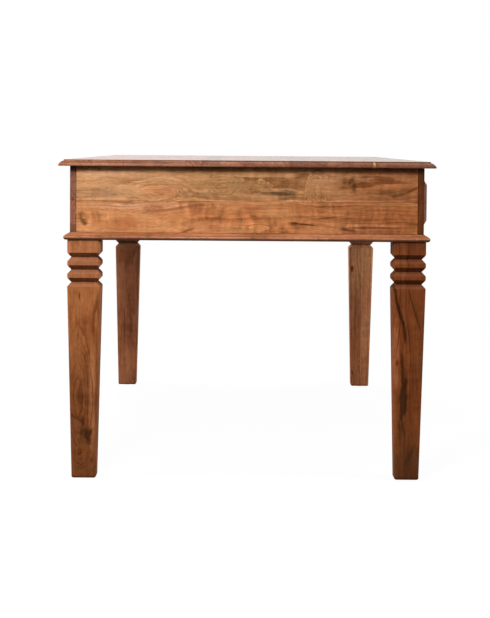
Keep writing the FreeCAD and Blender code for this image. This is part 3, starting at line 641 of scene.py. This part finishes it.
# each leg has its own wood; the two glued ones show their joint
# legs: painted shade on faces that look down, painted light on faces that look up
legShared = {**woodLook, "under": 0.45, "ledge": 0.35, "shine": 0.05, "roughness": 0.6}
legLooks = {
    "back_left_leg": {
        **legShared, "pale": (172, 107, 64), "body": (152, 90, 50), "streak": (88, 48, 26),
        "ringWidth": 0.007, "contrast": 0.85, "lateTone": (166, 140, 122), "streaks": 0.2,
    },
    "front_left_leg": {
        **legShared, "pale": (138, 77, 40), "body": (120, 62, 31), "dark": (86, 43, 21), "streak": (56, 30, 14),
        "ringWidth": 0.006, "contrast": 0.75, "lateTone": (164, 142, 128), "streaks": 0.15, "wave": 0.45,
        "under": 0.3, "ledge": 0.2,
    },
    "back_right_leg": {
        **legShared, "pale": (160, 100, 68), "body": (140, 84, 56), "streak": (92, 54, 35), "streaks": 0.2,
    },
    "front_right_leg": {
        **legShared, "pale": (212, 140, 98), "body": (190, 120, 79), "dark": (134, 78, 50), "streak": (120, 74, 46),
    },
}
legStaves = {
    "front_left_leg": [(0.0055, 0.35), (None, 0.05)],
    "front_right_leg": [(0.0, 0.1), (None, 0.5)],
}
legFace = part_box("back_left_leg")[0].x
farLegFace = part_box("back_right_leg")[0].x
legMarks = {
    "back_left_leg": [
        # darker towards the foot: partly the wood, partly painted shade
        mark((legFace, 0.390, 0.030), (0.420, 0.300), (112, 62, 33), 0.75, ragged=0.2),
        # paler at the block: partly painted light from above
        mark((legFace, 0.390, 0.580), (0.060, 0.200), (182, 117, 78), 0.6),
        mark((legFace, 0.390, 0.515), (0.046, 0.200), (150, 98, 72), 0.4),
        # arches
        mark((legFace, 0.402, 0.194), (0.205, 0.038), (140, 82, 44), 0.25, rings=8.0, ragged=0.05, core=0.0),
        mark((legFace, 0.369, 0.195), (0.170, 0.012), (206, 136, 90), 0.4, ragged=0.2, core=0.4),  # paler flank
        mark((legFace, 0.400, 0.443), (0.014, 0.003), (80, 42, 22), 0.8),
        mark((legFace, 0.398, 0.206), (0.040, 0.012), (74, 42, 22), 0.6, ragged=0.8),
        mark((legFace, 0.412, 0.150), (0.010, 0.004), (60, 32, 16), 0.7, lean=1.0, core=0.5),
        mark((legFace, 0.400, 0.144), (0.030, 0.003), (84, 46, 24), 0.6, lean=0.7),
        mark((legFace, 0.393, 0.142), (0.020, 0.009), (54, 30, 15), 0.7, lean=0.2, ragged=0.9),
        mark((legFace, 0.385, 0.106), (0.026, 0.011), (50, 28, 14), 0.75, lean=0.35, rings=1.6, ragged=0.9, core=0.1),
        mark((legFace, 0.384, 0.108), (0.026, 0.024), (66, 38, 18), 0.7, ragged=1.0, core=0.1),
        mark((legFace, 0.374, 0.112), (0.014, 0.006), (64, 34, 17), 0.7, lean=-0.5, ragged=0.7),
        mark((legFace, 0.396, 0.052), (0.036, 0.036), (110, 60, 32), 0.3, rings=2.8),
    ],
    "front_left_leg": [
        mark((legFace, -0.390, 0.590), (0.060, 0.200), (98, 54, 32), 0.5),
        mark((legFace, -0.361, 0.310), (0.120, 0.010), (186, 112, 72), 0.5, core=0.4),  # paler flank
        mark((legFace, -0.422, 0.320), (0.120, 0.009), (84, 48, 28), 0.35, core=0.4),
        mark((legFace, -0.356, 0.462), (0.040, 0.0045), (54, 30, 12), 0.85, lean=0.18, core=0.5),
        mark((legFace, -0.367, 0.412), (0.050, 0.006), (50, 27, 12), 0.85, lean=0.3, core=0.5),
        mark((legFace, -0.380, 0.362), (0.036, 0.006), (54, 29, 14), 0.8, lean=0.12, core=0.4),
        mark((legFace, -0.377, 0.270), (0.060, 0.007), (50, 28, 13), 0.75, lean=0.05, ragged=0.6, core=0.4),
        mark((legFace, -0.379, 0.196), (0.085, 0.013), (46, 27, 13), 0.85, lean=-0.05, ragged=0.6, core=0.45),
        mark((legFace, -0.376, 0.118), (0.050, 0.012), (66, 38, 19), 0.6, ragged=0.9),
        mark((legFace, -0.400, 0.423), (0.066, 0.0025), (54, 27, 13), 0.75, lean=0.295, core=0.4),
        mark((legFace, -0.410, 0.400), (0.060, 0.002), (60, 30, 15), 0.6, lean=0.24),
        mark((legFace, -0.3635, 0.286), (0.013, 0.006), (104, 24, 12), 0.85),
        mark((legFace, -0.398, 0.061), (0.030, 0.008), (50, 28, 15), 0.7, lean=-0.4, ragged=0.5),
        # darker towards the foot: partly the wood, partly painted shade
        mark((legFace, -0.390, 0.010), (0.130, 0.100), (76, 46, 27), 0.65),
    ],
    "front_right_leg": [
        mark((farLegFace, -0.372, 0.250), (0.200, 0.006), (92, 54, 30), 0.5),
        # painted light on the upper leg, which the case shades
        mark((farLegFace, -0.390, 0.500), (0.240, 0.120), (255, 186, 130), 0.45),
        mark((farLegFace, -0.362, 0.120), (0.160, 0.030), (150, 84, 46), 0.45),
        # red knot
        mark((farLegFace, -0.360, 0.396), (0.014, 0.008), (116, 30, 16), 0.85, rings=1.4, ragged=0.4, core=0.4),
        mark((farLegFace, -0.365, 0.048), (0.010, 0.004), (60, 32, 18), 0.75),
    ],
    "back_right_leg": [
        mark((farLegFace, 0.374, 0.412), (0.010, 0.004), (64, 36, 20), 0.6),
        mark((farLegFace, 0.400, 0.180), (0.140, 0.004), (80, 44, 28), 0.5),
        # painted light on the lower leg, where light reaches under the case
        mark((farLegFace, 0.390, 0.040), (0.180, 0.100), (172, 108, 72), 0.5),
    ],
}
for node, look in legLooks.items():
    heart = heartOf(node, (0.05, 0, 0))
    wood = woodMaterial(node, look, "standing", heart, legMarks[node], legStaves.get(node, ()))
    dress(node, wood)
print("legs dressed")

# drawers: lacquered fronts, sanded boxes, plywood bottoms
frontLook = {
    **woodLook, "pale": (168, 106, 66), "body": (140, 84, 50), "streak": (86, 48, 28),
    "shine": 0.15, "lacquer": 0.06, "endTone": (93, 91, 130),
}
sawnLook = {
    **woodLook, "pale": (198, 164, 120), "body": (180, 142, 98), "streak": (150, 112, 76),
    "roughness": 0.6, "shine": 0.25, "wearAndHighlight": 0.3, "relief": 0.5, "streaks": 0.3,
}
boxLook = {**sawnLook, "pale": (206, 168, 122), "body": (190, 148, 102), "roughness": 0.52, "relief": 0.35}
plyLook = {
    **boxLook, "ply": 0.00125, "plyTone": (150, 108, 70), "plySpan": (0.6, 0.2), "ringWidth": 0.02, "contrast": 0.4,
}


# plywood: a wood face, and layers that show at the edges
def plyMaterial(name, look, heart, underside):
    material = woodMaterial(name, look, "lengthwiseFlat", heart)
    tree = material.node_tree
    shader = tree.nodes["Principled BSDF"]
    face = shader.inputs["Base Color"].links[0].from_socket
    raw = addNode(tree, "ShaderNodeTexCoord").outputs
    height = calc(tree, "DIVIDE", calc(tree, "SUBTRACT", splitUp(tree, raw["Object"])["Z"], underside), look["ply"])
    layer = calc(tree, "GREATER_THAN", calc(tree, "PINGPONG", height, 1.0), 0.5)  # every other ply
    layered = mixColour(tree, layer, face, tone(*look["plyTone"]))
    side = span(tree, calc(tree, "ABSOLUTE", splitUp(tree, raw["Normal"])["Z"]), *look["plySpan"])
    put(tree, shader.inputs["Base Color"], mixColour(tree, side, face, layered))
    return material


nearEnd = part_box("left_drawer_front")[0]
frontMarks = [mark(nearEnd, (0.016, 0.900), (86, 54, 60), 0.6, ragged=0.2, core=0.6)]  # darker bevel at the near end
for bay, shift in zip(bays, (0.15, 0.05, -0.05)):
    node = f"{bay}_drawer_front"
    heart = heartOf(node, (shift, 0.07, 0.015))
    dress(node, woodMaterial(node, frontLook, "lengthwiseUpright", heart, frontMarks if bay == "left" else ()))
    for part in ("left_side", "right_side"):
        node = f"{bay}_drawer_{part}"
        dress(node, woodMaterial(node, boxLook, "crosswiseUpright", heartOf(node, (0.06, 0, 0.02))))
    node = f"{bay}_drawer_back"
    dress(node, woodMaterial(node, boxLook, "lengthwiseUpright", heartOf(node, (0, 0.06, 0.01))))
    node = f"{bay}_drawer_bottom"
    dress(node, plyMaterial(node, plyLook, heartOf(node, (0, 0.02, -0.2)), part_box(node)[0][2]))
    for part in ("left_runner", "right_runner", "kicker"):
        node = f"{bay}_bay_{part}"
        dress(node, woodMaterial(node, sawnLook, "crosswiseFlat", heartOf(node, (0.03, 0, -0.05))))
for node in ("left_partition", "right_partition"):
    dress(node, woodMaterial(node, sawnLook, "crosswiseUpright", heartOf(node, (0.05, 0, 0.02))))
print("drawers and inner boards dressed")

brassLook = {
    "bright": (222, 178, 104), "dull": (160, 118, 62), "dark": (72, 50, 28), "metal": 1.0, "roughness": 0.24,
    "relief": 0.3, "turnPitch": 0.0011,
}
steelLook = {
    "bright": (196, 197, 196), "dull": (150, 150, 146), "dark": (84, 82, 78), "metal": 1.0, "roughness": 0.34,
    "relief": 0.25,
}
glideLook = {
    "bright": (58, 50, 44), "dull": (40, 34, 30), "dark": (24, 20, 18), "metal": 0.0, "roughness": 0.5, "relief": 0.4,
}

# shares that are alike in every fitting
fittingFeel = {
    "wearAndHighlightRadius": 0.0008, "grimeAndShadeReach": 0.006, "scratchShare": 0.4, "edgeShare": 0.5, "grimeShare": 0.8,
    "dullRough": 0.16, "grimeRough": 0.2, "scratchHeight": -0.6, "turnHeight": 0.5, "depth": 0.0001,
}


# aged metal or moulded plastic; a turned piece gets fine rings round its axis through "middle"
def fittingMaterial(name, look, middle=None):
    material, tree, shader = newMaterial(name)
    place = addNode(tree, "ShaderNodeTexCoord").outputs["Object"]
    aged = useGroup(tree, ageGroup, Place=place)
    wearAndHighlight = useGroup(
        tree, wearHighlightShadeGroup, Place=place, Radius=fittingFeel["wearAndHighlightRadius"], Reach=fittingFeel["grimeAndShadeReach"]
    )
    bright = tone(*look["bright"])
    colour = mixColour(tree, aged["Dull"], bright, tone(*look["dull"]))
    colour = layOver(tree, colour, bright, aged["Scratch"], fittingFeel["scratchShare"])
    colour = layOver(tree, colour, bright, wearAndHighlight["EdgeWearAndHighlight"], fittingFeel["edgeShare"])
    colour = layOver(tree, colour, tone(*look["dark"]), wearAndHighlight["GrimeAndShade"], fittingFeel["grimeShare"])
    put(tree, shader.inputs["Base Color"], colour)
    rougher = [(aged["Dull"], fittingFeel["dullRough"]), (wearAndHighlight["GrimeAndShade"], fittingFeel["grimeRough"])]
    put(tree, shader.inputs["Roughness"], addShares(tree, look["roughness"], rougher, clamp=True))
    height = calc(tree, "MULTIPLY_ADD", aged["Scratch"], fittingFeel["scratchHeight"], aged["Grit"])
    if middle:
        off = splitUp(tree, vectorCalc(tree, "SUBTRACT", place, middle))
        radius = vectorCalc(tree, "LENGTH", joinUp(tree, X=off["X"], Z=off["Z"]), output="Value")
        turned = calc(tree, "PINGPONG", calc(tree, "DIVIDE", radius, look["turnPitch"]), fittingFeel["turnHeight"])
        height = calc(tree, "ADD", height, turned)
    addRelief(tree, shader, height, look["relief"], fittingFeel["depth"], wearAndHighlight["Normal"])
    shader.inputs["Metallic"].default_value = look["metal"]
    return material


steel = fittingMaterial("zincSteel", steelLook)
for bay in bays:
    node = f"{bay}_drawer_knob"
    dress(node, fittingMaterial(node, brassLook, tuple(middleOf(node))))
    dress(f"{bay}_drawer_knob_screw", steel)
for node in ("leg_bolts", "leg_bolt_washers", "top_screws"):
    dress(node, steel)
dress("leg_glides", fittingMaterial("glidePlastic", glideLook))
print("fittings dressed")

# pin heads where each drawer's sides and bottom are nailed to its back
pinLook = {
    "headRadius": 0.0017, "headRise": 0.00035, "segments": 14, "rings": 8, "spread": (0.9, 1.1), "seed": 7,
    "heights": (0.650, 0.673, 0.697), "bottomPins": 5,
}


def makePinTree():
    tree, given, result = newGroup(
        "pinHeads",
        {"Spots": "Geometry", "HeadRadius": "Float", "HeadRise": "Float", "Seed": "Int", "Metal": "Material"},
        {"Heads": "Geometry"},
        "GeometryNodeTree",
    )
    ball = addNode(
        tree, "GeometryNodeMeshUVSphere", {"Segments": pinLook["segments"], "Rings": pinLook["rings"], "Radius": 1.0}
    ).outputs["Mesh"]
    size = joinUp(tree, X=given["HeadRadius"], Y=given["HeadRadius"], Z=given["HeadRise"])
    dome = addNode(tree, "GeometryNodeTransform", {"Geometry": ball, "Scale": size}).outputs["Geometry"]
    points = addNode(tree, "GeometryNodeMeshToPoints", {"Mesh": given["Spots"]}).outputs["Points"]
    facing = addNode(
        tree, "GeometryNodeInputNamedAttribute", {"Name": "facing"}, data_type="FLOAT_VECTOR"
    ).outputs["Attribute"]
    turn = addNode(tree, "FunctionNodeAlignRotationToVector", {"Vector": facing}, axis="Z").outputs["Rotation"]
    scatter = addNode(tree, "FunctionNodeRandomValue", {"Seed": given["Seed"]}, data_type="FLOAT")
    scatter.inputs[2].default_value, scatter.inputs[3].default_value = pinLook["spread"]  # least and most
    heads = addNode(
        tree, "GeometryNodeInstanceOnPoints",
        {"Points": points, "Instance": dome, "Rotation": turn, "Scale": scatter.outputs[1]},
    ).outputs["Instances"]
    solid = addNode(tree, "GeometryNodeRealizeInstances", {"Geometry": heads}).outputs["Geometry"]
    shown = addNode(tree, "GeometryNodeSetMaterial", {"Geometry": solid, "Material": given["Metal"]})
    put(tree, result["Heads"], shown.outputs["Geometry"])
    return tree


def pinSpots(bay):
    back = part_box(f"{bay}_drawer_back")
    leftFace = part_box(f"{bay}_drawer_left_side")[0][0]
    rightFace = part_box(f"{bay}_drawer_right_side")[1][0]
    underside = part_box(f"{bay}_drawer_bottom")[0][2]
    middle = (back[0][1] + back[1][1]) / 2
    spots = [((leftFace, middle, height), (-1, 0, 0)) for height in pinLook["heights"]]
    spots += [((rightFace, middle, height), (1, 0, 0)) for height in pinLook["heights"]]
    count = pinLook["bottomPins"]
    for index in range(count):
        across = back[0][0] + (back[1][0] - back[0][0]) * (index + 0.5) / count
        spots.append(((across, middle, underside), (0, 0, -1)))
    return spots


def makePins(bay, tree):
    spots = pinSpots(bay)
    mesh = bpy.data.meshes.new("pinSpots")
    mesh.from_pydata([place for place, _ in spots], [], [])
    facing = mesh.attributes.new("facing", "FLOAT_VECTOR", "POINT")
    for index, (_, way) in enumerate(spots):
        facing.data[index].vector = way
    holder = bpy.data.objects.new("pinSpots", mesh)
    scene.collection.objects.link(holder)
    modifier = holder.modifiers.new("pinHeads", "NODES")
    modifier.node_group = tree
    values = {
        "HeadRadius": pinLook["headRadius"], "HeadRise": pinLook["headRise"], "Seed": pinLook["seed"], "Metal": steel,
    }
    for item in tree.interface.items_tree:
        if item.in_out == "INPUT" and item.name in values:
            modifier[item.identifier] = values[item.name]
    made = bpy.data.meshes.new_from_object(holder.evaluated_get(bpy.context.evaluated_depsgraph_get()))
    holder.modifiers.remove(modifier)
    bpy.data.objects.remove(holder)
    made.name = f"{bay}_drawer_pins"
    pins = bpy.data.objects.new(f"{bay}_drawer_pins", made)
    scene.collection.objects.link(pins)
    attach(pins, f"{bay}_drawer")


pinTree = makePinTree()
for bay in bays:
    makePins(bay, pinTree)
print("drawer pins set")

# studio
floorLook = {"half": 20.0, "bounce": 0.1, "seen": 0.95, "whiteness": 0.94, "clearFrom": 1.6, "clearTo": 3.4}


# the rays that see the white surround: the camera's, and those of gloss and glass
def whiteRays(tree):
    rays = addNode(tree, "ShaderNodeLightPath").outputs
    mirrored = calc(tree, "MAXIMUM", rays["Is Glossy Ray"], rays["Is Transmission Ray"])
    return calc(tree, "MAXIMUM", rays["Is Camera Ray"], mirrored)


def makeFloor():
    half = floorLook["half"]
    mesh = bpy.data.meshes.new("studioFloor")
    mesh.from_pydata([(-half, -half, 0), (half, -half, 0), (half, half, 0), (-half, half, 0)], [], [(0, 1, 2, 3)])
    floor = bpy.data.objects.new("studioFloor", mesh)
    scene.collection.objects.link(floor)
    material = bpy.data.materials.new("studioFloor")
    material.use_nodes = True
    tree = material.node_tree
    tree.nodes.clear()
    seen = whiteRays(tree)
    grey = calc(tree, "MULTIPLY_ADD", seen, floorLook["seen"] - floorLook["bounce"], floorLook["bounce"])
    lit = addNode(tree, "ShaderNodeBsdfDiffuse", {"Color": joinUp(tree, X=grey, Y=grey, Z=grey)}).outputs[0]
    white = addNode(tree, "ShaderNodeEmission", {"Color": (1, 1, 1, 1), "Strength": 1.0}).outputs[0]
    place = addNode(tree, "ShaderNodeTexCoord").outputs["Object"]
    away = vectorCalc(tree, "LENGTH", place, output="Value")
    clear = span(tree, away, floorLook["clearFrom"], floorLook["clearTo"], floorLook["whiteness"], 1.0)
    shown = addNode(tree, "ShaderNodeMixShader", {"Fac": calc(tree, "MULTIPLY", seen, clear)})
    tree.links.new(lit, shown.inputs[1])
    tree.links.new(white, shown.inputs[2])
    out = addNode(tree, "ShaderNodeOutputMaterial")
    tree.links.new(shown.outputs[0], out.inputs["Surface"])
    mesh.materials.append(material)


worldLook = {"ambient": 0.12}


def makeWorld():
    world = bpy.data.worlds.new("studioWorld")
    scene.world = world
    world.use_nodes = True
    tree = world.node_tree
    ambient = worldLook["ambient"]
    back = tree.nodes["Background"]
    back.inputs["Color"].default_value = (1, 1, 1, 1)
    put(tree, back.inputs["Strength"], calc(tree, "MULTIPLY_ADD", whiteRays(tree), 1.0 - ambient, ambient))


lampLooks = {
    "keyLamp": {"at": (-3.0, 0.6, 1.9), "aim": (-0.85, 0.1, 0.55), "size": 0.7, "power": 52, "gloss": False},
    "overLamp": {"at": (-1.9, 0.3, 3.0), "aim": (-0.85, 0, 0.5), "size": 1.6, "power": 12, "gloss": True},
    "topLamp": {"at": (0.2, 0.2, 3.2), "aim": (0, 0, 0.7), "size": 2.5, "power": 45, "gloss": False},
    "frontLamp": {"at": (-1.6, -3.0, 1.3), "aim": (0, 0, 0.4), "size": 1.4, "power": 58, "gloss": False},
    "backLamp": {"at": (-1.4, 3.0, 1.5), "aim": (0, 0, 0.4), "size": 1.4, "power": 55, "gloss": False},
    "farLamp": {"at": (3.0, 0.6, 1.8), "aim": (0.8, 0, 0.5), "size": 1.2, "power": 38, "gloss": False},
    "farFrontLamp": {"at": (2.4, -2.6, 1.2), "aim": (0, 0, 0.4), "size": 1.4, "power": 45, "gloss": False},
    "farBackLamp": {"at": (2.4, 2.6, 1.2), "aim": (0, 0, 0.4), "size": 1.4, "power": 45, "gloss": False},
}


def makeLamps():
    for name, look in lampLooks.items():
        lamp = bpy.data.lights.new(name, "AREA")
        lamp.shape = "DISK"
        lamp.size = look["size"]
        lamp.energy = look["power"]
        holder = bpy.data.objects.new(name, lamp)
        holder.location = look["at"]
        holder.visible_glossy = look["gloss"]
        holder.rotation_euler = (Vector(look["aim"]) - Vector(look["at"])).to_track_quat("-Z", "Y").to_euler()
        scene.collection.objects.link(holder)


cameraLook = {
    "at": (-5.1402, 0.0196, 0.8087), "tiltDown": 2.904, "turn": -0.203, "roll": 0.44, "lens": 103.89,
    "shiftUp": -0.12, "seesTo": 100,
}


def makeCamera():
    camera = bpy.data.objects.new("photoCamera", bpy.data.cameras.new("photoCamera"))
    scene.collection.objects.link(camera)
    turn = Matrix.Rotation(math.radians(cameraLook["turn"] - 90), 3, "Z")
    tilt = Matrix.Rotation(math.radians(90 - cameraLook["tiltDown"]), 3, "X")
    roll = Matrix.Rotation(math.radians(cameraLook["roll"]), 3, "Z")
    camera.rotation_euler = (turn @ tilt @ roll).to_euler()
    camera.location = cameraLook["at"]
    camera.data.lens = cameraLook["lens"]
    camera.data.shift_y = cameraLook["shiftUp"]
    camera.data.clip_end = cameraLook["seesTo"]
    scene.camera = camera


makeFloor()
makeWorld()
makeLamps()
makeCamera()
print("studio ready")
